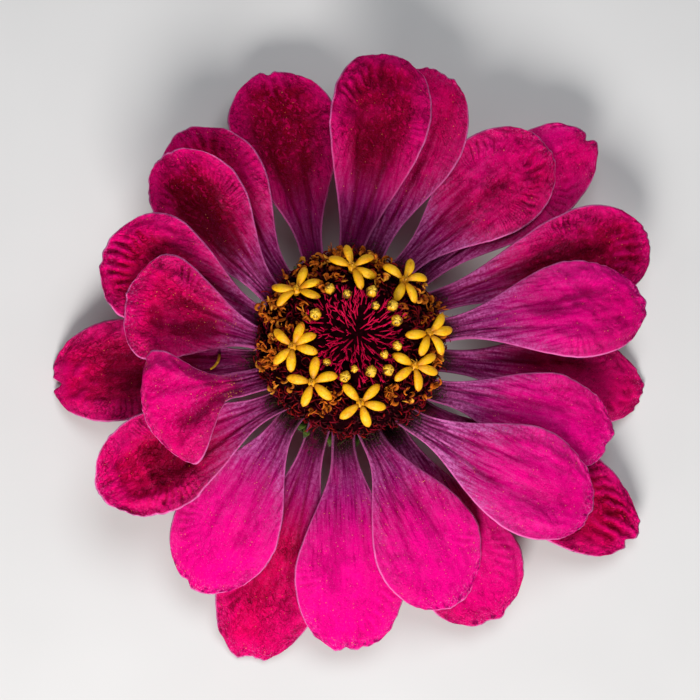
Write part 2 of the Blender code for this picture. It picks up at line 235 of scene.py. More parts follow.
class Shader:
    """A material under construction, made of procedural nodes. base is its colour so far."""

    def __init__(self, name, roughness, specular=0.35):
        self.material = bpy.data.materials.new(name)
        self.material.use_nodes = True
        self.tree = self.material.node_tree
        self.surface = self.tree.nodes["Principled BSDF"]
        self.surface.inputs["Roughness"].default_value = roughness
        self.surface.inputs["Specular IOR Level"].default_value = specular
        self.base = None

    def node(self, kind, inputs=(), **settings):
        made = self.tree.nodes.new(kind)
        for key, value in settings.items():
            setattr(made, key, value)
        for key, value in dict(inputs).items():
            self.put(made.inputs[key], value)
        return made

    def put(self, socket, value):
        if isinstance(value, bpy.types.NodeSocket):
            self.tree.links.new(value, socket)
        elif isinstance(value, tuple) and len(value) == 3 and socket.type == "RGBA":
            socket.default_value = (*value, 1)
        else:
            socket.default_value = value

    def math(self, operation, a, b=0.0, clamp=False, c=0.0):
        made = self.node("ShaderNodeMath", {0: a, 1: b, 2: c}, operation=operation)
        made.use_clamp = clamp
        return made.outputs[0]

    def times(self, *values):
        product = values[0]
        for value in values[1:]:
            product = self.math("MULTIPLY", product, value)
        return product

    def plus(self, *values):
        total = values[0]
        for value in values[1:]:
            total = self.math("ADD", total, value)
        return total

    def layer(self, name):
        """The three numbers of a mesh layer, and the vector of them."""
        read = self.node("ShaderNodeAttribute", attribute_name=name)
        split = self.node("ShaderNodeSeparateXYZ", {0: read.outputs["Vector"]})
        return split.outputs[0], split.outputs[1], split.outputs[2], read.outputs["Vector"]

    def ramp(self, value, *stops):
        """Colour at a value, between (place, colour) stops."""
        made = self.node("ShaderNodeValToRGB", {"Fac": value})
        elements = made.color_ramp.elements
        while len(elements) < len(stops):
            elements.new(0.5)
        for element, (place, colour) in zip(elements, stops):
            element.position = place
            element.color = (*colour, 1)
        return made.outputs[0]

    def between(self, value, low, high, to_low=0.0, to_high=1.0):
        made = self.node("ShaderNodeMapRange", {0: value, 1: low, 2: high, 3: to_low, 4: to_high})
        made.interpolation_type = "SMOOTHSTEP"
        return made.outputs[0]

    def line(self, noise, width, strength):
        """Thin lines where a noise crosses its middle."""
        off = self.math("ABSOLUTE", self.math("SUBTRACT", noise, 0.5))
        return self.between(off, width, 0.0, 0.0, strength)

    def mix(self, share, a, b):
        made = self.node("ShaderNodeMix", {0: share}, data_type="RGBA")
        self.put(made.inputs[6], a)
        self.put(made.inputs[7], b)
        return made.outputs[2]

    def place(self, scale=(1, 1, 1)):
        """Object coordinates in millimetres times scale."""
        read = self.node("ShaderNodeTexCoord").outputs["Object"]
        return self.scaled(read, tuple(s / MM for s in scale))

    def scaled(self, vector, scale):
        return self.node("ShaderNodeMapping", {"Vector": vector, "Scale": scale}).outputs[0]

    def noise(self, vector, scale, detail=3.0, rough=0.55):
        inputs = {"Vector": vector, "Scale": scale, "Detail": detail, "Roughness": rough}
        return self.node("ShaderNodeTexNoise", inputs).outputs[0]

    def bump(self, height, strength, distance):
        made = self.node("ShaderNodeBump", {"Strength": strength, "Distance": distance, "Height": height})
        self.put(self.surface.inputs["Normal"], made.outputs[0])

    def paint(self, colour, *shares):
        """Lay a colour over the colours so far, as strongly as the shares times each other."""
        self.base = self.mix(self.times(*shares), self.base, colour)

    def done(self):
        self.put(self.surface.inputs["Base Color"], self.base)
        return self.material


# A petal's colour from foot to tip, in three depths: magenta, red and wine. The wine is partly painted
# shade.
# Each ramp's first stops are the painted shade at the claw's foot.
PETAL_COLOURS = (
    (
        (0, (0.008, 0.01, 0.003)),
        (0.1, (0.018, 0.01, 0.007)),
        (0.16, (0.13, 0.004, 0.056)),
        (0.28, (0.26, 0.001, 0.11)),
        (0.45, (0.66, 0, 0.195)),
        (0.62, (0.86, 0, 0.245)),
        (1.0, (0.87, 0, 0.235)),
    ),
    (
        (0, (0.008, 0.01, 0.003)),
        (0.08, (0.016, 0.009, 0.006)),
        (0.14, (0.14, 0.003, 0.056)),
        (0.28, (0.27, 0.001, 0.095)),
        (0.48, (0.52, 0, 0.06)),
        (1.0, (0.74, 0, 0.08)),
    ),
    (
        (0, (0.008, 0.008, 0.003)),
        (0.07, (0.014, 0.007, 0.005)),
        (0.13, (0.15, 0.003, 0.058)),
        (0.28, (0.21, 0.001, 0.065)),
        (0.48, (0.19, 0, 0.012)),
        (1.0, (0.24, 0, 0.011)),
    ),
)


def petal_material():
    s = Shader("petal", 0.7, 0.015)
    s.put(s.surface.inputs["Sheen Weight"], 0.02)
    s.put(s.surface.inputs["Sheen Roughness"], 0.4)
    s.put(s.surface.inputs["Sheen Tint"], (1, 0.02, 0.5))
    across, along, rim, _ = s.layer("petal")
    rib, crease_shading, crimson, _ = s.layer("relief")
    spot = s.layer("spot")[3]
    turn, lined, pale, _ = s.layer("comb")
    side = s.math("ABSOLUTE", across)
    # From the foot of the claw, painted near black as the shade where it runs in under the fringe, through
    # mauve to the blade, which is pinkest at its rim.
    magenta, red, wine = (s.ramp(along, *stops) for stops in PETAL_COLOURS)
    # The relief layer's third number blends toward red and then wine: partly the petal's own colour, partly
    # painted shade.
    s.base = s.mix(s.math("MULTIPLY", crimson, 2.0, True), magenta, red)
    s.paint(wine, s.math("MULTIPLY_ADD", crimson, 2.0, True, c=-1.0))
    # Partly the petal's colour and partly painted light: the deeper-red petals turn pinker near the rim,
    # where it tilts up toward the light.
    near_rim = s.between(rim, 4.0, 0.3, 0, 0.9)
    s.paint((0.86, 0, 0.185), near_rim, s.between(crimson, 0.2, 0.6), s.between(along, 0.25, 0.5))
    # Broad cloudy patches of deeper and brighter colour.
    cloud = s.noise(s.scaled(spot, (1.0, 0.6, 1.0)), 0.34, 3, 0.6)
    shade = s.between(cloud, 0.48, 0.3, 0, 0.2)
    s.paint((0.3, 0, 0.012), shade, s.between(crimson, 0, 0.5, 0.35, 1.0))
    s.paint((1.0, 0, 0.28), s.between(cloud, 0.52, 0.72, 0, 0.12))
    # Pale lilac streaks on the claw, along its ribs, and dark lines between them.
    streak = s.noise(s.scaled(spot, (2.4, 0.22, 1.0)), 1.0, 4, 0.65)
    mottle = s.noise(spot, 2.6, 3, 0.65)
    reach = s.math("SUBTRACT", along, s.times(side, 0.16))
    rib_fade = s.plus(s.between(reach, 0.5, 0.14, 0, 0.76), s.between(reach, 0.95, 0.35, 0, 0.24))
    rib_fade = s.times(s.between(along, 0.07, 0.2), rib_fade)
    ribs = s.plus(s.times(rib, 0.5), s.between(streak, 0.42, 0.66, 0, 0.75))
    ribs = s.plus(ribs, s.between(side, 0.55, 0.95, 0, 0.35))
    ribs = s.times(ribs, rib_fade, s.between(mottle, 0.3, 0.64, 0.12, 0.9))
    ribs = s.times(ribs, s.math("MULTIPLY_ADD", crimson, -0.35, c=1.0))
    s.paint((0.64, 0.15, 0.44), s.math("MULTIPLY", ribs, pale, True))
    s.paint((0.07, 0, 0.02), s.between(streak, 0.47, 0.33, 0, 0.6), s.between(along, 0.8, 0.3))
    # Fine wavy wrinkles on the blade, with dark red lines in their valleys that are partly the petal's veins
    # and partly painted shade.
    warp = s.noise(spot, 1.6, 2)
    warp = s.node("ShaderNodeCombineXYZ", {0: warp, 1: warp}).outputs[0]
    warped = s.node("ShaderNodeVectorMath", {0: spot, 1: warp}, operation="ADD").outputs[0]
    coarse = s.noise(s.scaled(warped, (1.0, 0.5, 1.0)), 0.85, 2, 0.5)
    fine = s.noise(s.scaled(warped, (1.0, 0.6, 1.0)), 2.2, 2, 0.5)
    lines = s.math("ADD", s.line(coarse, 0.055, 0.6), s.line(fine, 0.07, 0.55), True)
    lines = s.times(lines, s.between(along, 0.3, 0.55), s.between(cloud, 0.66, 0.36, 0.3, 1.0))
    lines = s.times(lines, s.between(crimson, 0, 0.6, 0.35, 1.0))
    s.paint((0.08, 0, 0.002), lines, 0.8)
    cells = s.times(s.between(fine, 0.54, 0.68, 0, 0.425), s.between(along, 0.35, 0.6))
    s.paint((0.95, 0, 0.15), cells, s.between(crimson, 0.1, 0.7))
    # Painted shade and highlight: valleys of the creases and furrows are deeper red, and crests are pinker.
    depth = s.between(crimson, 0, 0.5, 0.4, 1.0)
    sway = s.times(s.noise(spot, 0.8, 2), 9.0)
    wave = s.math("SINE", s.math("MULTIPLY_ADD", turn, TURN / COMB_SPACING, c=sway))
    s.paint((0.1, 0, 0.003), s.between(wave, 0.3, -0.9, 0, 0.525), lined, depth)
    s.paint((0.95, 0.008, 0.25), s.between(wave, 0, 0.95, 0, 0.3), lined, depth)
    s.paint((0.1, 0, 0.003), s.between(crease_shading, -0.05, -0.8, 0, 0.6), depth)
    s.paint((0.95, 0.002, 0.24), s.between(crease_shading, 0.1, 0.85, 0, 0.27), depth)
    # Velvet: each cell of the skin catches light differently.
    velvet = s.noise(spot, 6.0, 4, 0.7)
    s.paint((1.0, 0.02, 0.42), s.between(velvet, 0.55, 0.72, 0, 0.21))
    s.paint((0.1, 0, 0.004), s.between(velvet, 0.45, 0.28, 0, 0.42))
    glint = s.between(s.noise(spot, 5.5, 3, 0.75), 0.6, 0.69)
    s.paint((1.0, 0.16, 0.66), glint, s.between(crimson, 0.8, 0.2, 0.0675, 0.36))
    # Frosted tip, crumpled tip darkened with painted shade where it curls under, and a thin pale rim painted
    # as a highlight.
    frost = s.between(s.noise(spot, 3.6, 5, 0.8), 0.52, 0.68)
    frost = s.times(frost, s.between(along, 0.7, 0.96), s.between(rim, 3.0, 0.3))
    s.paint((0.98, 0.2, 0.58), frost, s.between(crimson, 1.0, 0.2, 0.2, 0.8))
    crumple = s.between(s.noise(spot, 1.5, 3, 0.6), 0.5, 0.62)
    crumple = s.times(crumple, s.between(along, 0.84, 0.97), s.between(rim, 1.8, 0.3))
    s.paint((0.11, 0, 0.055), crumple, s.between(crimson, 0.7, 0.25, 0.15, 0.75))
    # Painted highlight: a thin pale line along the rim, where its edge would lie in shade.
    s.paint((0.98, 0.22, 0.6), s.between(rim, 0.3, 0.06, 0, 0.9), s.between(along, 0.35, 0.6, 0.35, 1.0))
    height = s.plus(s.times(velvet, 0.6), s.times(lines, -0.5), s.times(streak, rib_fade, 0.6))
    s.bump(s.plus(height, s.times(wave, lined, 0.3)), 1.0, SKIN_DEPTH * MM)
    return s.done()


def chaff_material(name, foot, middle, tip, odd, dark=0):
    """Strands that go from foot to tip colour, the foot's up to the share dark. Some have an odd colour."""
    s = Shader(name, 0.6, 0.1)
    along, hue, _, _ = s.layer("measure")
    speckle = s.noise(s.place(), 2.2, 4, 0.65)
    s.base = s.ramp(along, (0, foot), (dark, foot), (dark + 0.3, middle), (1.0, tip))
    s.paint(odd, s.between(hue, 0.55, 0.95), s.between(along, 0.1, 0.7))
    s.paint(foot, s.between(speckle, 0.35, 0.7, 0.55, 0))
    s.bump(speckle, 0.5, 0.05 * MM)
    return s.done()


def shaded_cone_material():
    s = Shader("shaded_chaff_ground", 0.9, 0.02)
    lumps = s.noise(s.place(), 1.3, 4, 0.6)
    # Painted shade: the cone between the strands is near black, as the shade deep among them.
    s.base = s.ramp(lumps, (0.3, (0.002, 0, 0)), (0.6, (0.012, 0, 0.002)), (0.8, (0.05, 0.001, 0.006)))
    s.bump(lumps, 0.8, 0.3 * MM)
    return s.done()


def floret_material():
    s = Shader("floret", 0.45, 0.3)
    out, hue, _, _ = s.layer("measure")
    place = s.place()
    grain = s.noise(place, 3.4, 4, 0.65)
    patch = s.noise(place, 0.9, 3, 0.6)
    # Painted shade darkens each lobe toward the hub and into the tube; the browner lobe tips are their own
    # colour.
    s.base = s.ramp(
        out,
        (0, (0.3, 0.09, 0.004)),
        (0.2, (0.8, 0.36, 0.003)),
        (0.5, (0.92, 0.5, 0.003)),
        (0.85, (0.9, 0.44, 0.003)),
        (1.0, (0.62, 0.22, 0.004)),
    )
    s.paint((0.72, 0.22, 0.002), s.between(patch, 0.5, 0.68, 0, 0.65))
    s.paint((1.0, 0.66, 0.02), s.between(grain, 0.52, 0.7, 0, 0.6))
    s.paint((0.52, 0.17, 0.002), s.between(grain, 0.46, 0.28, 0, 0.6))
    s.paint((0.86, 0.34, 0.002), s.between(hue, 0.5, 1.0, 0, 0.35))
    s.bump(grain, 0.6, 0.1 * MM)
    return s.done()


def bud_material():
    s = Shader("bud", 0.35, 0.4)
    seam, rise, _, _ = s.layer("measure")
    place = s.place()
    grain = s.noise(place, 3.2, 4, 0.65)
    patch = s.noise(place, 1.1, 3, 0.6)
    # Painted shade: the bud is near black below its top, where it sits down among the chaff.
    s.base = s.ramp(
        rise,
        (0, (0.03, 0.006, 0.002)),
        (0.58, (0.045, 0.009, 0.003)),
        (0.76, (0.74, 0.34, 0.006)),
        (0.95, (0.92, 0.56, 0.035)),
    )
    # Painted shade along the sunken seams.
    s.paint((0.2, 0.07, 0.006), s.between(seam, 0.35, 1.0, 0, 0.8))
    s.paint((0.05, 0.01, 0.003), s.between(patch, 0.5, 0.57), s.between(rise, 1.0, 0.91, 0, 0.9))
    s.paint((0.55, 0.24, 0.008), s.between(grain, 0.46, 0.3, 0, 0.4))
    s.paint((0.96, 0.78, 0.2), s.between(grain, 0.58, 0.74, 0, 0.4))
    s.bump(grain, 0.4, 0.06 * MM)
    return s.done()


def green_material():
    s = Shader("green", 0.55, 0.3)
    edge = s.layer("measure")[0]
    streak = s.noise(s.place((1, 1, 0.25)), 2.4, 4, 0.6)
    grain = s.noise(s.place(), 5, 3, 0.6)
    olive = (0.25, (0.036, 0.068, 0.008)), (0.55, (0.105, 0.17, 0.02)), (0.8, (0.2, 0.27, 0.05))
    s.base = s.ramp(streak, *olive)
    s.paint((0.028, 0.018, 0.012), s.between(edge, 0.72, 0.95, 0, 0.85))
    s.paint((0.22, 0.34, 0.11), s.between(grain, 0.5, 0.7, 0, 0.35))
    s.bump(s.plus(streak, grain), 0.5, 0.12 * MM)
    return s.done()


def pollen_material():
    s = Shader("pollen", 0.5)
    grain = s.noise(s.place(), 0.8, 2)
    s.base = s.ramp(grain, (0.3, (0.85, 0.22, 0.01)), (0.6, (0.95, 0.48, 0.04)), (0.8, (0.98, 0.75, 0.25)))
    return s.done()


def floor_material():
    s = Shader("floor", 0.6, 0.25)
    cloud = s.noise(s.place((0.02, 0.02, 0.02)), 1.0, 3)
    s.base = s.ramp(cloud, (0.3, (0.68, 0.68, 0.675)), (0.7, (0.74, 0.74, 0.735)))
    s.bump(s.noise(s.place(), 1.5, 3), 0.08, 0.05 * MM)
    return s.done()


# ---- petals


def petal_sheets(node):
    """The CAD petal's upper and lower sheets, as rows from claw to tip that run from right to left."""
    body = welded(node)
    sharp = [edge for edge in body.edges if edge.calc_face_angle(0) > RIM_ANGLE]
    beside = {}
    for edge in sharp:
        for vert in edge.verts:
            beside.setdefault(vert, []).append(edge.other_vert(vert))
    ring = [min(beside, key=lambda v: v.co.xy.length)]
    ring.append(beside[ring[0]][0])
    while len(ring) < len(beside):
        ring.append(next(v for v in beside[ring[-1]] if v is not ring[-2]))
    # The claw's foot is the run of rim vertices that stand at the cone.
    nearest = min(v.co.xy.length for v in ring)
    at_foot = [v.co.xy.length < nearest + 1 * MM for v in ring]
    start = next(i for i in range(len(ring)) if at_foot[i] and not at_foot[i - 1])
    ring = ring[start:] + ring[:start]
    foot = ring[: sum(at_foot)]
    rim = set(ring)
    sheets = []
    seen = set(rim)
    for seed in body.verts:
        if seed in seen:
            continue
        part, waiting = {seed}, [seed]
        while waiting:
            vert = waiting.pop()
            for edge in vert.link_edges:
                other = edge.other_vert(vert)
                if other not in rim and other not in part:
                    part.add(other)
                    waiting.append(other)
        seen |= part
        sheets.append(sheet_rows(foot, ring, part | rim))
    sheets = [squared([[np.array(v.co) for v in row] for row in rows]) for rows in sheets]
    sheets.sort(key=lambda grid: -grid[1:-1, 1:-1, 2].mean())
    upper, lower = sheets
    outward = upper[-1].mean(axis=0) - upper[0].mean(axis=0)
    if np.cross(outward, upper[3, -1] - upper[3, 0])[2] < 0:
        upper, lower = upper[:, ::-1], lower[:, ::-1]
    body.free()
    return upper, lower


def squared(rows):
    """The rows as an array, with the clipped corners of the first and last rows put back."""
    for end, beside in ((0, 1), (-1, -2)):
        row, full = rows[end], rows[beside]
        middle = len(full) // 2
        if len(row) < len(full):
            off = [np.linalg.norm(point - full[middle]) for point in row]
            if off.index(min(off)) < middle:
                row.insert(0, row[0] + full[0] - full[1])
        if len(row) < len(full):
            row.append(row[-1] + full[-1] - full[-2])
    return np.array(rows)


def sheet_rows(foot, ring, allowed):
    """The rows of one sheet, each found as the neighbours of the one before."""
    rows, used = [foot], set(foot)
    while True:
        ahead = {e.other_vert(v) for v in rows[-1] for e in v.link_edges}
        ahead = {v for v in ahead if v in allowed and v not in used}
        if not ahead:
            return rows
        corner = ring.index(rows[-1][0])
        walk = [next(v for v in (ring[corner - 1], ring[(corner + 1) % len(ring)]) if v in ahead)]
        while len(walk) < len(ahead):
            near = [e.other_vert(walk[-1]) for e in walk[-1].link_edges]
            walk.append(next(v for v in near if v in ahead and v not in walk))
        rows.append(walk)
        used |= ahead


class Petal:
    """One CAD petal as a smooth surface over t, from foot to tip, and u, from -1 at the right to 1."""

    def __init__(self, number):
        self.node = f"ray_petal_{number:02d}"
        self.number = number
        upper, lower = petal_sheets(self.node)
        self.grid = (upper + lower) / 2
        self.depth = np.linalg.norm(upper - lower, axis=2).max(axis=1) / 2
        middle = self.grid[:, self.grid.shape[1] // 2]
        lengths = np.concatenate([[0], np.cumsum(np.linalg.norm(np.diff(middle, axis=0), axis=1))])
        self.length = lengths[-1] / MM
        self.t_knots = lengths / lengths[-1]
        wide = self.grid[len(self.grid) * 2 // 3]
        spread = np.concatenate([[0], np.cumsum(np.linalg.norm(np.diff(wide, axis=0), axis=1))])
        self.u_knots = 2 * spread / spread[-1] - 1
        self.half_widths = np.linalg.norm(np.diff(self.grid, axis=1), axis=2).sum(axis=1) / 2 / MM

    def at(self, t, u):
        """Points of the middle surface."""
        rows, columns = spline_weights(self.t_knots, t.ravel()), spline_weights(self.u_knots, u.ravel())
        return np.einsum("nr,rcd,nc->nd", rows, self.grid, columns).reshape(*t.shape, 3)

    def half_width(self, t):
        return np.interp(t, self.t_knots, self.half_widths)


# What sets a petal apart: notches in its tip as (place across, depth, width).
NOTCHES = {
    2: ((0.3, 0.012, 0.16),),
    4: ((-0.1, 0.03, 0.13),),
    7: ((-0.25, 0.018, 0.14), (-0.6, 0.018, 0.12)),
    8: ((-0.35, 0.018, 0.14),),
    10: ((-0.2, 0.026, 0.12),),
    11: ((0.35, 0.018, 0.16), (-0.1, 0.012, 0.12)),
    13: ((0.3, 0.016, 0.12), (-0.15, 0.012, 0.1)),
    14: ((0.1, 0.012, 0.14),),
    15: ((-0.35, 0.016, 0.13),),
    18: ((0.18, 0.04, 0.14),),
    20: ((0.3, 0.02, 0.14),),
    23: ((0.1, 0.018, 0.14),),
}
# How strongly a petal creases, where it isn't as usual.
CREASED = {1: 0.9, 3: 1.4, 4: 1.3, 5: 1.2, 6: 1.3, 8: 0.9, 9: 1.0, 10: 1.3}
CREASED |= {16: 1.2, 18: 1.1, 19: 1.2, 20: 1.5, 21: 1.2, 22: 1.1, 23: 0.9}
# How far each petal's pink has deepened to wine red, partly its own colour and partly painted shade: most at
# the back of the flower, which faces away from the key light.
WINE_AND_SHADE = (
    *(0.8, 0.38, 0.34, 0.22, 0.74, 0.08, 0.36, 0.0, 0.0, 0.78, 0.22, 0.0),
    *(0.0, 0.48, 0.0, 0.54, 0.24, 0.58, 0.5, 0.72, 0.94, 0.62, 0.95),
)
# How pale the ribs of a claw are, where they aren't as usual.
PALE = {1: 0.4, 3: 1.1, 9: 1.6, 10: 0.7, 12: 0.7, 13: 0.35, 14: 0.5, 15: 0.8, 21: 1.2, 22: 0.7, 23: 0.35}
# How high, in mm, a ridge stands along the inside of the rim.
ARCHED = {1: 0.25, 5: 0.25, 6: 0.3, 9: 0.3, 15: 0.2, 16: 0.5, 17: 0.5}
ARCHED |= {18: 0.35, 19: 0.45, 20: 0.5, 21: 0.4, 22: 0.3}
# Folds, each from (t, u) to (t, u) with its width and height in mm. A valley's height is negative.
FOLDS = {
    1: ((0.35, 0.1, 0.8, 0.15, 1.2, -0.35),),
    3: ((0.3, 0.05, 0.78, -0.1, 1.1, -0.5), (0.45, -0.35, 0.85, -0.45, 1.3, 0.35)),
    5: ((0.3, -0.05, 0.85, 0.05, 1.0, -0.5), (0.35, 0.35, 0.8, 0.45, 1.4, 0.3)),
    6: (
        (0.4, 0.25, 0.78, 0.4, 1.2, -0.6),
        (0.4, -0.2, 0.8, -0.25, 1.6, 0.3),
        (0.45, 0.05, 0.72, 0.1, 0.7, -0.4),
    ),
    8: ((0.35, 0.3, 0.8, 0.35, 1.2, -0.3),),
    9: ((0.35, -0.2, 0.8, -0.25, 1.2, -0.4), (0.4, 0.25, 0.85, 0.3, 1.6, 0.35)),
    12: ((0.3, 0.25, 0.7, 0.35, 1.2, -0.3),),
    13: ((0.3, -0.25, 0.75, -0.35, 1.2, -0.3),),
    15: ((0.3, 0.3, 0.75, 0.4, 1.2, -0.3),),
    16: ((0.52, 0.0, 0.76, 0.1, 3.0, -0.6),),
    17: ((0.25, 0.2, 0.85, 0.3, 1.0, -0.6), (0.3, -0.15, 0.9, -0.2, 1.2, 0.5)),
    18: (
        (0.5, -0.1, 0.76, 0.0, 2.4, -0.45),
        (0.62, -0.4, 0.88, -0.1, 0.8, 0.4),
        (0.88, -0.1, 0.7, 0.4, 0.8, 0.4),
    ),
    19: ((0.35, 0.1, 0.7, 0.45, 0.9, -0.5), (0.7, 0.5, 0.85, -0.1, 0.8, -0.5)),
    20: ((0.3, -0.1, 0.75, 0.0, 1.4, -0.4), (0.5, 0.1, 0.74, 0.1, 2.4, -0.4)),
    21: ((0.3, 0.0, 0.75, 0.1, 1.4, -0.5), (0.5, 0.0, 0.76, 0.1, 2.6, -0.4)),
    22: ((0.3, -0.2, 0.8, -0.2, 1.2, -0.35), (0.5, 0.1, 0.78, 0.1, 2.6, -0.4)),
    23: ((0.3, 0.1, 0.85, 0.2, 1.3, -0.3),),
}


def trimmed(number, t, u):
    """t and u with the tip rounded off and notched, and the rim wavering."""
    back = 0.035 * np.abs(u) ** 4 * t**10
    back += 0.016 * (0.4 + value_noise(u * 1.9 + number * 1.7, 5.0, number)) * smooth(0.75, 1, t)
    for place, deep, wide in NOTCHES.get(number, ()):
        back += deep * np.exp(-(((u - place) / wide) ** 2)) * t**24
    back += 0.007 * (value_noise(u * 3.5 + number, 2.0, number) + 0.2) * smooth(0.7, 1, t)
    waver = (1 + value_noise(t * 9, np.sign(u) * 4, number + 5)) * smooth(0.35, 0.6, t)
    return t - np.clip(back, 0, None), u * (1 - 0.05 * t**14 - 0.022 * waver)


def claw_relief(number, t, u):
    """(height in mm, ribs, grooves) of ribs that run along the claw and fade into the blade."""
    drift = value_noise(t * 3 + number, u * 2, number + 1, 2)
    rib = 0.5 + 0.5 * np.cos(TURN * CLAW_RIBS * (u + 0.07 * drift) + number)
    rib = rib * (0.55 + 0.45 * value_noise(u * 4 + number, t * 4, number + 7, 2))
    uneven = value_noise(u * 7 + number, t * 2.5, number + 10, 2)
    claw = (1 - smooth(0.12, 0.75, t)) * smooth(0, 0.05, t)
    groove = np.exp(-(((np.abs(u + 0.06 * drift) - 0.3) / 0.08) ** 2))
    groove = groove * smooth(0.08, 0.25, t) * (1 - smooth(0.5, 0.88, t))
    return (0.13 * (rib - 0.3) + 0.1 * uneven) * claw - 0.24 * groove, rib, groove


def fold_height(petal, w, s):
    """The height of a petal's folds, at w mm across it and s mm along it."""
    height = np.zeros_like(w)
    for t0, u0, t1, u1, wide, tall in FOLDS.get(petal.number, ()):
        start = np.array((u0 * petal.half_width(t0), t0 * petal.length))
        run = np.array((u1 * petal.half_width(t1), t1 * petal.length)) - start
        share = np.clip(((w - start[0]) * run[0] + (s - start[1]) * run[1]) / (run @ run), 0, 1)
        off = np.hypot(w - start[0] - share * run[0], s - start[1] - share * run[1])
        off += 0.5 * value_noise(w / 2.5, s / 2.5, petal.number + 12, 2)
        height += tall * np.exp(-((off / wide) ** 2)) * smooth(0, 0.2, share) * smooth(0, 0.2, 1 - share)
    return height


def blade_relief(petal, t, u, w, s, rim):
    """(height in mm, creases that set the painted shade and highlight, run of the rim in mm, how clearly
    furrows line it) of the blade.
    """
    number = petal.number
    strength = CREASED.get(number, USUAL_CREASING)
    blade = smooth(0.3, 0.6, t)
    dent = value_noise(w / 4.5 + number * 3, s / 6 + number, number + 2, 2) * blade
    arch = ARCHED.get(number, 0.0) * np.exp(-(((rim - 2.6) / 0.9) ** 2)) * smooth(0.45, 0.7, t)
    fold = fold_height(petal, w, s)
    # Wrinkles and furrows run in from the rim of the outer half.
    from_centre = np.hypot(u, np.clip(t - 0.62, 0, 1) / 0.38)
    round_rim = np.arctan2(w, s - 0.6 * petal.length) * 6.5
    patch = smooth(-0.25, 0.45, value_noise(round_rim / 5 + number, 1.0, number + 3, 2))
    sway = 2.6 * value_noise(w / 1.8, s / 1.8, number + 4, 2)
    band = smooth(0.42, 0.72, from_centre) * (1 - smooth(0.86, 1.0, from_centre)) * smooth(0.5, 0.66, t)
    wrinkle = np.sin(TURN * round_rim / WRINKLE_SPACING + sway) * band * patch * strength
    lined = smooth(0.45, 0.72, from_centre) * (1 - smooth(0.84, 0.98, from_centre)) * smooth(0.45, 0.62, t)
    lined = lined * smooth(-0.2, 0.5, value_noise(round_rim / 4 + number * 2, 6.0, number + 15, 2))
    lined = lined * np.clip(strength - USUAL_CREASING, 0, 0.42)
    crackle = value_noise(w * 1.15 + 7, s * 0.8 + number, number + 6, 3) * blade
    crumple = value_noise(w / 0.9 + 3, s / 0.9 + number, number + 14, 2)
    crumple = crumple * smooth(2.2, 0.6, rim) * smooth(0.82, 0.95, t)
    # The rim turns up a little and ruffles.
    ruffle = value_noise(round_rim / 2.6, 3.0, number + 8, 2)
    curl = (1 - smooth(0, 1.3, rim)) * smooth(0.35, 0.7, t)
    height = 0.55 * dent * smooth(0, 2.5, rim) + arch + fold + 0.18 * wrinkle + 0.21 * crackle * strength
    height += 0.22 * crumple + curl * (0.1 + 0.26 * ruffle)
    # How strongly the creases are painted darker in their valleys and pinker on their crests.
    crease_shading = 0.9 * wrinkle + 0.6 * crackle + 0.5 * dent + 1.6 * fold + 0.8 * arch
    return height, crease_shading, round_rim, lined


def make_petal(number, material):
    """Build a ray petal, and give its upper points, their normals and t."""
    petal = Petal(number)
    t_line = np.linspace(0, 1, ROWS)
    t_line += 0.12 * np.sin(TURN * t_line) / TURN  # closer rows at the foot and the tip
    t, u = np.meshgrid(t_line, np.linspace(-1, 1, COLUMNS), indexing="ij")
    t_used, u_used = trimmed(number, t, u)
    middle = petal.at(t_used, u_used)
    normal = np.cross(np.gradient(middle, axis=0), np.gradient(middle, axis=1))
    normal /= np.linalg.norm(normal, axis=2)[..., None]
    half_width = petal.half_width(t)
    w, s = u * half_width, t * petal.length
    rim = np.minimum(half_width * (1 - np.abs(u)), (1 - t) * petal.length)
    claw_height, rib, groove = claw_relief(number, t, u)
    blade_height, crease_shading, round_rim, lined = blade_relief(petal, t, u, w, s, rim)
    thick = np.interp(t_used, petal.t_knots, petal.depth) / MM
    depth = 0.62 * np.clip(np.maximum(thick, 0.24), 0, max(petal.depth) / MM)
    depth = depth * (1 - np.abs(u) ** 8) ** 0.5 * (1 - np.abs(2 * t - 1) ** 40) ** 0.5
    centre = middle + normal * ((claw_height + blade_height) * MM)[..., None]
    upper = centre + normal * (depth * MM)[..., None]
    lower = centre - normal * (depth * MM)[..., None]
    # The wine red share, partly painted shade, with a little random change over the petal.
    crimson = np.clip(WINE_AND_SHADE[number - 1] + 0.16 * value_noise(u * 1.5 + number, t * 2.5, number + 9, 2), 0, 1)
    layers = {
        "petal": (u, t, rim),
        # The second number sets the painted shade in crease valleys and claw grooves, and the painted
        # highlight on crests.
        "relief": (rib, np.clip(crease_shading - 0.7 * groove, -1, 1), crimson),
        "spot": (w, s, np.full_like(t, 7.3 * number)),
        "comb": (round_rim, lined, np.full_like(t, PALE.get(number, 1.0))),
    }
    layers = {name: np.column_stack([on_both(grid) for grid in grids]) for name, grids in layers.items()}
    points, faces = closed_sheet(upper, lower)
    piece(f"petal_{number:02d}", points, faces, material, [petal.node], layers)
    return upper, normal, t


def on_both(grid):
    """A grid's values at the points of closed_sheet."""
    return np.concatenate([grid.ravel(), grid[1:-1, 1:-1].ravel()])


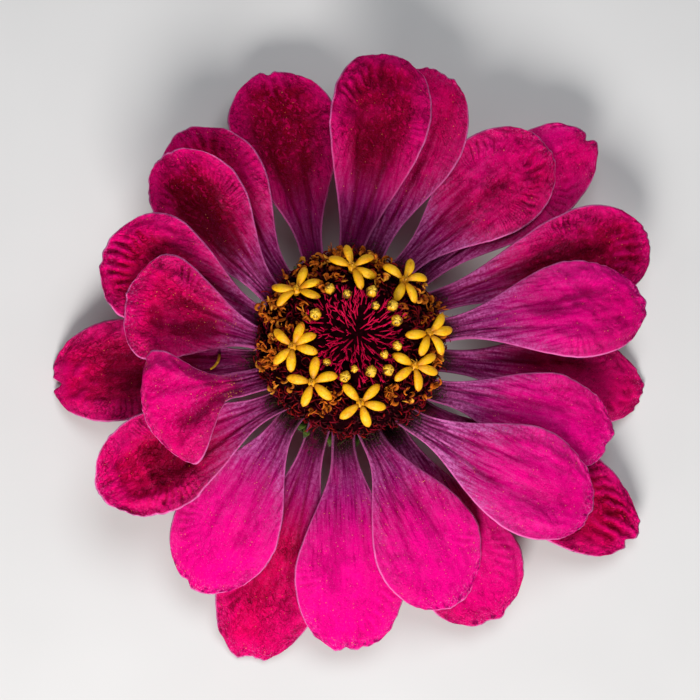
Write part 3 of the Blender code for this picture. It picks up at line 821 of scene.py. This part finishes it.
def closed_sheet(upper, lower):
    """Points and faces of a closed leaf from two grids that share their outermost points."""
    rows, columns = upper.shape[:2]
    index = np.arange(rows * columns).reshape(rows, columns)
    below = index.copy()
    inner = (rows - 2) * (columns - 2)
    below[1:-1, 1:-1] = rows * columns + np.arange(inner).reshape(rows - 2, columns - 2)
    points = np.concatenate([upper.reshape(-1, 3), lower[1:-1, 1:-1].reshape(-1, 3)])
    faces = []
    for r in range(rows - 1):
        for c in range(columns - 1):
            faces.append((index[r, c], index[r + 1, c], index[r + 1, c + 1], index[r, c + 1]))
            faces.append((below[r, c], below[r, c + 1], below[r + 1, c + 1], below[r + 1, c]))
    return points, [tuple(int(i) for i in face) for face in faces]


# ---- the cone


def ground_finder():
    """Two functions that give the cone's surface point and normal: on its dome and on its side."""
    body = welded("chaff_cone")
    tree = BVHTree.FromBMesh(body)
    high = max(v.co.z for v in body.verts)
    body.free()

    def on_dome(radius, azimuth):
        start = Vector((radius * math.cos(azimuth), radius * math.sin(azimuth), high + 0.01))
        point, normal, _, _ = tree.ray_cast(start, Vector((0, 0, -1)))
        return np.array(point), np.array(normal)

    def on_side(height, azimuth):
        out = Vector((math.cos(azimuth), math.sin(azimuth), 0))
        point, normal, _, _ = tree.ray_cast(out * 0.03 + Vector((0, 0, height)), -out)
        return np.array(point), np.array(normal)

    return on_dome, on_side


def polar(azimuth, out=1.0, up=0.0):
    return np.array((out * math.cos(azimuth), out * math.sin(azimuth), up))


def unit(vector):
    return vector / np.linalg.norm(vector)


def curled(start, direction, length, curl, axis, steps):
    """Points of a strand that leaves start in a direction and turns by curl radians about axis."""
    spine = [start]
    direction = unit(direction)
    for _ in range(steps):
        turn = Matrix.Rotation(curl / steps, 3, Vector(axis))
        direction = np.array(turn @ Vector(direction))
        spine.append(spine[-1] + direction * length / steps)
    return spine


def across(direction, random):
    """Some axis square to a direction."""
    return unit(np.cross(direction, random.normal(0, 1, 3)))


def wisp(tangle, random, start, lean, lengths, curls, radii, sides=4, flat=1.0, hues=1.0):
    """Add a strand that tapers and curls about some axis. lengths and curls are ranges."""
    axis = across(lean, random)
    length, curl = random.uniform(*lengths) * MM, random.uniform(*curls)
    spine = curled(start, lean, length, curl, axis, len(radii) - 1)
    tangle.strand(spine, radii * MM, random.random() * hues, sides, flat)


def make_chaff(on_dome):
    """Fringed scale tips that radiate from the top of the cone and fork at their ends."""
    random = np.random.default_rng(5)
    tips = Tangle()
    for i in range(1, SCALE_TIPS):
        if random.random() < i / 650:
            continue
        radius = TIP_SPACING * MM * math.sqrt(i - 0.8)
        azimuth = i * GOLDEN_ANGLE + random.normal(0, 0.08)
        ground, normal = on_dome(radius, azimuth)
        near = radius / (7 * MM)
        lean = unit(normal * (0.45 + 0.6 * near) + polar(azimuth) + random.normal(0, 0.2 + 0.25 * near, 3))
        side = unit(np.cross(lean, normal + random.normal(0, 0.1, 3)))
        length = random.uniform(1.5, 2.4) * (1.05 - 0.35 * near) * MM
        hue = random.random() * 0.9
        spine = curled(ground - normal * 0.05 * MM, lean, length, random.normal(0.1, 0.5), side, 6)
        radii = np.array((0.085, 0.09, 0.095, 0.095, 0.09, 0.08, 0.025)) * MM * random.uniform(0.7, 1.25)
        tips.strand(spine, radii, hue, 5, 0.6, normal)
        for way in random.permutation([-1, 1])[: 1 + int(random.random() * 1.8)]:
            at = 3 + int(random.random() * 1.99)
            branch = unit(unit(spine[at] - spine[at - 1]) + side * way * random.uniform(0.5, 1.1))
            tooth = curled(spine[at], branch, length * random.uniform(0.3, 0.55), way * 0.5, normal, 4)
            tips.strand(tooth, np.array((0.085, 0.08, 0.07, 0.055, 0.02)) * MM, hue, 4, 0.7, normal)
    return tips


def make_fringe(on_dome, on_side):
    """Dark red frayed scales round the cone's shoulder and side."""
    random = np.random.default_rng(11)
    fringe = Tangle()
    for _ in range(FRINGE_STRANDS):
        azimuth = random.uniform(0, TURN)
        if random.random() < FRINGE_ON_DOME:
            near, far = FRINGE_RADII
            ground, normal = on_dome(math.sqrt(random.uniform(near**2, far**2)) * MM, azimuth)
        else:
            ground, normal = on_side(random.uniform(*FRINGE_HEIGHTS) * MM, azimuth)
        lean = unit(normal * 0.9 + polar(azimuth, 0.3, 0.3) + random.normal(0, 0.5, 3))
        length, axis = random.uniform(1.0, 2.2) * MM, across(lean, random)
        spine = curled(ground - normal * 0.15 * MM, lean, length, random.uniform(1.5, 6.5), axis, 7)
        radii = np.linspace(0.15, 0.085, 8) * MM * random.uniform(0.8, 1.3)
        fringe.strand(spine, radii, random.random(), 4, 0.6)
    # A frayed hem hangs from the shoulder between the claws.
    for i in range(HEM_STRANDS):
        azimuth = TURN * i / HEM_STRANDS + random.normal(0, 0.01)
        ground, normal = on_side(random.uniform(*HEM_HEIGHTS) * MM, azimuth)
        lean = unit(polar(azimuth, 0.8, -0.5) + random.normal(0, 0.45, 3))
        foot = ground - normal * 0.2 * MM
        wisp(fringe, random, foot, lean, (0.7, 1.4), (1.0, 4.5), np.linspace(0.14, 0.08, 7), flat=0.6)
    return fringe


# Where the spent florets are: azimuths in degrees, plan radii in mm, and how many.
WITHERED = (
    (62, 112, 9.2, 11.6, 26),
    (112, 160, 9.0, 11.6, 24),
    (160, 205, 8.8, 11.6, 22),
    (100, 130, 6.8, 8.6, 7),
    (150, 178, 6.0, 8.6, 9),
    (14, 44, 8.6, 11.4, 16),
    (20, 34, 6.2, 7.4, 3),
    (62, 76, 6.6, 8.4, 5),
    (-16, -4, 9.5, 11.4, 4),
    (-66, -44, 7.6, 10.4, 10),
    (-120, -104, 7.4, 10.6, 12),
    (-150, -140, 9.4, 11.4, 4),
    (-178, -160, 10.0, 11.6, 6),
    (-44, 14, 10.4, 11.8, 7),
)


def make_withered(on_dome):
    """Spent florets: crumpled orange-brown shreds, thickest on the far and left sides of the cone."""
    random = np.random.default_rng(23)
    spent = Tangle()
    for first, last, near, far, count in WITHERED:
        for _ in range(count):
            azimuth = math.radians(random.uniform(first, last))
            ground, normal = on_dome(random.uniform(near, far) * MM, azimuth)
            hue = random.random()
            middle = ground + normal * random.uniform(0.3, 1.5) * MM
            size = random.uniform(0.7, 1.15)
            for _ in range(int(random.integers(2, 6))):
                start = unit(random.normal(0, 1, 3) + normal * 0.5)
                curl_axis = across(start, random)
                length = random.uniform(0.9, 1.8) * size * MM
                shred = curled(middle, start, length, random.uniform(1.5, 5.5), curl_axis, 9)
                radii = np.array((0.12, 0.2, 0.26, 0.29, 0.29, 0.27, 0.23, 0.19, 0.13, 0.05))
                spent.strand(shred, radii * size * MM * random.uniform(0.6, 1.05), hue, 5, 0.3, curl_axis)
    return spent


# ---- florets and buds


def floret_star(node):
    """(hub, axis, lobe tips) of an open floret, from the small end faces of its CAD lobes."""
    body = welded(node)
    bmesh.ops.dissolve_limit(body, angle_limit=math.radians(1), verts=body.verts, edges=body.edges)
    middle = np.mean([v.co[:] for v in body.verts], axis=0)
    ends = [np.array(face.calc_center_median()) for face in body.faces if face.calc_area() < 0.14 * MM**2]
    body.free()
    tips = np.array([end for end in ends if np.linalg.norm(end - middle) > 1.9 * MM])
    centre = tips.mean(axis=0)
    _, _, directions = np.linalg.svd(tips - centre)
    axis = directions[2] * np.sign(directions[2][2])
    flat = (tips - centre) @ directions[:2].T
    # The hub is the middle of the circle through the tips.
    sides = np.column_stack([2 * flat, np.ones(len(flat))])
    fit, *_ = np.linalg.lstsq(sides, (flat**2).sum(axis=1), rcond=None)
    return centre + fit[:2] @ directions[:2], axis, tips


def make_open_floret(number, material, on_dome):
    """Five or six plump lobes round a short funnel."""
    node = f"open_floret_{number}"
    random = np.random.default_rng(100 + number)
    hub, axis, tips = floret_star(node)
    star = Tangle()
    shares = np.linspace(0, 1, 13)
    places = (0, 0.12, 0.3, 0.5, 0.7, 0.86, 0.95, 1)
    profile = np.interp(shares, places, (0.22, 0.34, 0.53, 0.62, 0.6, 0.47, 0.3, 0.08))
    for tip in tips:
        out = tip - hub
        twist = random.normal(0, 0.14)
        side = unit(np.cross(axis, out))
        face = unit(axis + side * twist)
        arch = random.uniform(0.1, 0.3) * MM
        droop = random.uniform(-0.05, 0.35) * MM
        sway = random.normal(0, 0.1) * MM
        spine = []
        for x in shares:
            rise = arch * math.sin(math.pi * min(x * 1.15, 1)) - droop * x**4
            spine.append(hub + out * (0.13 + 0.87 * x) + axis * rise + side * sway * math.sin(math.pi * x))
        size = random.uniform(0.94, 1.06)
        star.strand(spine, profile * size * MM, random.random(), 12, 0.62, face)
    foot, normal = on_dome(math.hypot(hub[0], hub[1]), math.atan2(hub[1], hub[0]))
    foot = foot - normal * 0.3 * MM
    tube = [foot + (hub - foot) * x for x in (0, 0.3, 0.6, 0.85, 1.0, 1.04, 1.0, 0.8)]
    radii = np.array((0.42, 0.44, 0.46, 0.54, 0.6, 0.5, 0.36, 0.22)) * MM
    star.strand(tube, radii, 0.9, 12, 1.0, (1.0, 0.2, 0.1))
    # The tube has the colours of a lobe's foot, with painted shade at its foot and down inside its mouth.
    star.along[-12 * len(tube) :] = np.repeat((0.0, 0.05, 0.12, 0.2, 0.22, 0.18, 0.04, 0.0), 12).tolist()
    star.build(f"floret_{number}", material, "floret_yellow", [node])
    return hub, axis


def row_at(place, t):
    return int(np.argmin(np.abs(t[:, 0] - place)))


def make_styles(mouths, dropped_on):
    """An anther tube and forked styles in the mouth of each open floret, and one style dropped on a claw."""
    random = np.random.default_rng(31)
    styles = Tangle()
    for i, (hub, axis) in enumerate(mouths):
        lean = unit(axis + random.normal(0, 0.25, 3))
        sideways = unit(np.cross(lean, (0.3, 1, 0.2)))
        tube = curled(hub - axis * 0.3 * MM, lean, random.uniform(0.7, 1.1) * MM, 0.2, sideways, 4)
        styles.strand(tube, np.array((0.17, 0.18, 0.2, 0.18, 0.1)) * MM, random.random(), 6)
        for _ in range(2 if i % 2 else 4):
            out = unit(axis * 0.6 + random.normal(0, 0.8, 3))
            length = random.uniform(0.4, 1.0) * MM
            arm = curled(tube[-1], out, length, random.uniform(1, 3), unit(np.cross(out, axis)), 6)
            styles.strand(arm, np.linspace(0.08, 0.04, 7) * MM, random.random(), 4)
    upper, normal, t = dropped_on
    row, column = row_at(DROPPED_STYLE_AT, t), COLUMNS // 2 - 14
    start = upper[row, column] + normal[row, column] * 0.5 * MM
    spine = curled(start, (0.1, -1, 0.15), 2.6 * MM, -1.1, (0, 0, 1), 10)
    styles.strand(spine, np.linspace(0.22, 0.15, 11) * MM, 0.95, 6)
    return styles


def make_bud(number, material):
    node = f"bud_{number:02d}"
    body = welded(node)
    points = np.array([v.co[:] for v in body.verts])
    body.free()
    foot = points[np.argsort(points[:, 2])[: len(points) // 5]].mean(axis=0)
    top = points[np.argsort(-points[:, 2])[: len(points) // 5]].mean(axis=0)
    axis, tall = unit(top - foot), np.linalg.norm(top - foot)
    guide = unit(np.cross(axis, (1.0, 0.2, 0.1)))
    spin = number * 0.7

    def split(points):
        away = points - foot
        rise = away @ axis
        flat = away - np.outer(rise, axis)
        return rise / tall, np.arctan2(flat @ np.cross(axis, guide), flat @ guide)

    def seam(rise, turn):
        return np.exp(-((np.abs((turn + spin) * 5 / TURN % 1 - 0.5) / 0.06) ** 2)) * smooth(0.6, 0.9, rise)

    def change(points, normals):
        rise, turn = split(points)
        depth = 0.16 * seam(rise, turn) - 0.1 * value_noise(turn * 1.5 + number, rise * 3, number, 2)
        return points - normals * (depth * MM)[:, None]

    def measure(points):
        rise, turn = split(points)
        return np.column_stack([seam(rise, turn), rise, turn])

    refined(f"closed_{number:02d}", node, material, 3, change, measure)


# ---- greens and small things


def make_bracts(material):
    """The bracts, dark along their edges."""
    for node in (f"{row}_bract_{number}" for row in ("upper", "lower") for number in range(1, 7)):
        number = int(node[-1])
        low, high = (np.array(corner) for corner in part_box(node))
        azimuth = math.atan2(low[1] + high[1], low[0] + high[0])

        def change(points, normals, number=number):
            turn = np.arctan2(points[:, 1], points[:, 0])
            ridge = value_noise(turn * 22, points[:, 2] / MM / 4, number, 2)
            return points + normals * (0.08 * ridge * MM)[:, None]

        def measure(points, azimuth=azimuth, low=low, high=high):
            turn = np.arctan2(points[:, 1], points[:, 0]) - azimuth
            turn = np.abs((turn + math.pi) % TURN - math.pi) / (TURN / 12)
            height = (points[:, 2] - low[2]) / (high[2] - low[2])
            edge = np.maximum(turn + 0.25 * height, height)
            return np.column_stack([edge, height, turn])

        name = f"scale_{node.replace('bract_', '')}"
        refined(name, node, material, 3, change, measure)


def make_cup(material):
    low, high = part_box("calyx_cup")

    def change(points, normals):
        # The nipped face and the rim keep their places.
        return np.column_stack([points[:, :2], np.clip(points[:, 2], low[2], high[2])])

    def measure(points):
        # No part of the cup is a dark edge.
        return np.zeros_like(points)

    refined("cup", "calyx_cup", material, 2, change, measure)


def make_leaf_tips():
    """Green bract tips that show through the gaps between the claws."""
    random = np.random.default_rng(71)
    claws = []
    for number in range(1, PETALS + 1):
        body = welded(f"ray_petal_{number:02d}")
        claws.append(BVHTree.FromBMesh(body))
        body.free()
    tips = Tangle()
    for k in range(LEAF_TIP_PLACES):
        azimuth = TURN * k / LEAF_TIP_PLACES
        above = Vector(polar(azimuth, 12.9 * MM, 40 * MM))
        hits = [claw.ray_cast(above, Vector((0, 0, -1)), 30 * MM)[0] for claw in claws]
        if any(hits):
            continue
        azimuth += random.normal(0, 0.01)
        tip = polar(azimuth, random.uniform(12.7, 13.5) * MM, random.uniform(11.6, 12.6) * MM)
        foot = polar(azimuth, 10.9 * MM, 10.4 * MM)
        spine = []
        for x in np.linspace(0, 1, 8):
            spine.append(foot + (tip - foot) * x + polar(azimuth, 0, 0.5 * math.sin(math.pi * x) * MM))
        radii = np.array((0.45, 0.55, 0.62, 0.62, 0.56, 0.44, 0.28, 0.06)) * MM
        tips.strand(spine, radii, random.random(), 8, 0.25, polar(azimuth, -0.5, 1))
    return tips


def make_hairs(petals):
    """The dried styles and the fine hairs at the foot of each ray petal."""
    random = np.random.default_rng(43)
    hairs = Tangle()
    middle = COLUMNS // 2
    for upper, normal, t in petals:
        row = row_at(HAIRY_AT, t)
        face = normal[row, middle]
        out = unit(upper[row + 4, middle] - upper[row, middle])
        for _ in range(LONG_HAIRS):
            start = upper[row + random.integers(-3, 4), middle + random.integers(-9, 10)] - face * 0.05 * MM
            lean = unit(face * 0.8 + out * random.uniform(0, 0.8) + random.normal(0, 0.35, 3))
            wisp(hairs, random, start, lean, (0.8, 1.8), (2, 6), np.linspace(0.075, 0.035, 11), hues=0.6)
        for _ in range(SHORT_HAIRS):
            start = upper[row + random.integers(-6, 6), middle + random.integers(-20, 21)] - face * 0.03 * MM
            lean = unit(face * 0.6 + out * random.uniform(-0.4, 0.8) + random.normal(0, 0.5, 3))
            wisp(hairs, random, start, lean, (0.5, 1.2), (0.5, 3), np.linspace(0.035, 0.015, 6), sides=3)
    return hairs


# Grains of pollen on a petal: most on those that stand highest.
POLLEN = {6: 45, 9: 60, 11: 50, 12: 130, 13: 110, 14: 50, 15: 100, 16: 50, 17: 130, 19: 110}
USUAL_POLLEN = 24


def make_pollen(petals):
    random = np.random.default_rng(57)
    grains = Tangle()
    for number, (upper, normal, _) in enumerate(petals, start=1):
        for _ in range(POLLEN.get(number, USUAL_POLLEN)):
            r, c = random.integers(ROWS // 4, ROWS - 3), random.integers(3, COLUMNS - 3)
            size = random.uniform(0.022, 0.06) * MM
            spine = [upper[r, c] + normal[r, c] * size * x for x in (-0.4, 0.2, 0.9, 1.3)]
            grains.strand(spine, np.array((0.6, 1.0, 0.85, 0.35)) * size, random.random(), 5)
    return grains


# ---- building

petal_skin = petal_material()
petals = [make_petal(number, petal_skin) for number in range(1, PETALS + 1)]

on_dome, on_side = ground_finder()
refined("cone", "chaff_cone", shaded_cone_material(), 2)
crimson = chaff_material(
    "scale_tips", (0.4, 0.0, 0.032), (0.55, 0.001, 0.045), (0.86, 0.004, 0.09), (0.2, 0.0, 0.018)
)
make_chaff(on_dome).build("scale_tips", crimson)
dark_red = chaff_material(
    "fringe", (0.005, 0.0, 0.0), (0.11, 0.0, 0.007), (0.34, 0.0, 0.02), (0.4, 0.008, 0.004), dark=0.15
)
make_fringe(on_dome, on_side).build("fringe", dark_red)
brown = chaff_material(
    "withered", (0.05, 0.008, 0.002), (0.6, 0.115, 0.006), (0.95, 0.27, 0.015), (1.0, 0.44, 0.04)
)
make_withered(on_dome).build("spent_florets", brown)

yellow = floret_material()
mouths = [make_open_floret(number, yellow, on_dome) for number in range(1, 9)]
ochre = chaff_material("style", (0.1, 0.03, 0.006), (0.5, 0.2, 0.012), (0.7, 0.36, 0.03), (0.9, 0.5, 0.03))
make_styles(mouths, petals[17]).build("styles", ochre)
pale_yellow = bud_material()
for number in range(1, 15):
    make_bud(number, pale_yellow)

green = green_material()
make_cup(green)
make_bracts(green)
make_leaf_tips().build("leaf_tips", green)
drab = chaff_material(
    "hair", (0.03, 0.02, 0.008), (0.06, 0.05, 0.015), (0.1, 0.09, 0.03), (0.14, 0.05, 0.015), dark=0.2
)
make_hairs(petals).build("hairs", drab)
make_pollen(petals).build("pollen", pollen_material())


# ---- floor, light and camera


def make_floor():
    mesh = bpy.data.meshes.new("floor")
    corners = [(x * FLOOR_HALF, y * FLOOR_HALF, 0) for x, y in ((-1, -1), (1, -1), (1, 1), (-1, 1))]
    mesh.from_pydata(corners, [], [(0, 1, 2, 3)])
    mesh.materials.append(floor_material())
    placed("floor", mesh)


def area_light(name, place, aim, size, power, colour):
    light = bpy.data.lights.new(name, "AREA")
    light.shape = "DISK"
    light.size = size
    light.energy = power
    light.color = colour
    made = placed(name, light)
    made.location = place
    made.rotation_mode = "QUATERNION"
    made.rotation_quaternion = (Vector(aim) - Vector(place)).to_track_quat("-Z", "Y")


def make_world():
    world = bpy.data.worlds.new("studio")
    world.use_nodes = True
    back = world.node_tree.nodes["Background"]
    back.inputs[0].default_value = (0.92, 0.94, 1.0, 1)
    back.inputs[1].default_value = 0.11
    bpy.context.scene.world = world


def make_camera():
    turn, rise = math.radians(CAMERA_AZIMUTH), math.radians(CAMERA_ELEVATION)
    back = Vector((math.sin(turn) * math.cos(rise), -math.cos(turn) * math.cos(rise), math.sin(rise)))
    right = Vector((0, 1, 0)).cross(back).normalized()
    up = back.cross(right)
    data = bpy.data.cameras.new("camera")
    data.lens = CAMERA_LENS
    data.clip_start = 0.01
    made = placed("camera", data)
    facing = Matrix((right, up, back)).transposed().to_4x4()
    made.matrix_world = Matrix.Translation(CAMERA_AIM + back * CAMERA_DISTANCE) @ facing
    bpy.context.scene.camera = made


# Colours are shown as they are, since a film-like curve would grey this flower's pinks.
bpy.context.scene.view_settings.view_transform = "Standard"
make_floor()
area_light("key", (-0.07, -0.36, 0.26), aim=(0, 0, 0.01), size=0.2, power=2.35, colour=(1.0, 0.97, 0.95))
area_light("overhead", (0.05, 0.16, 0.48), aim=(0, 0, 0), size=0.35, power=1.05, colour=(0.95, 0.97, 1.0))
make_world()
make_camera()
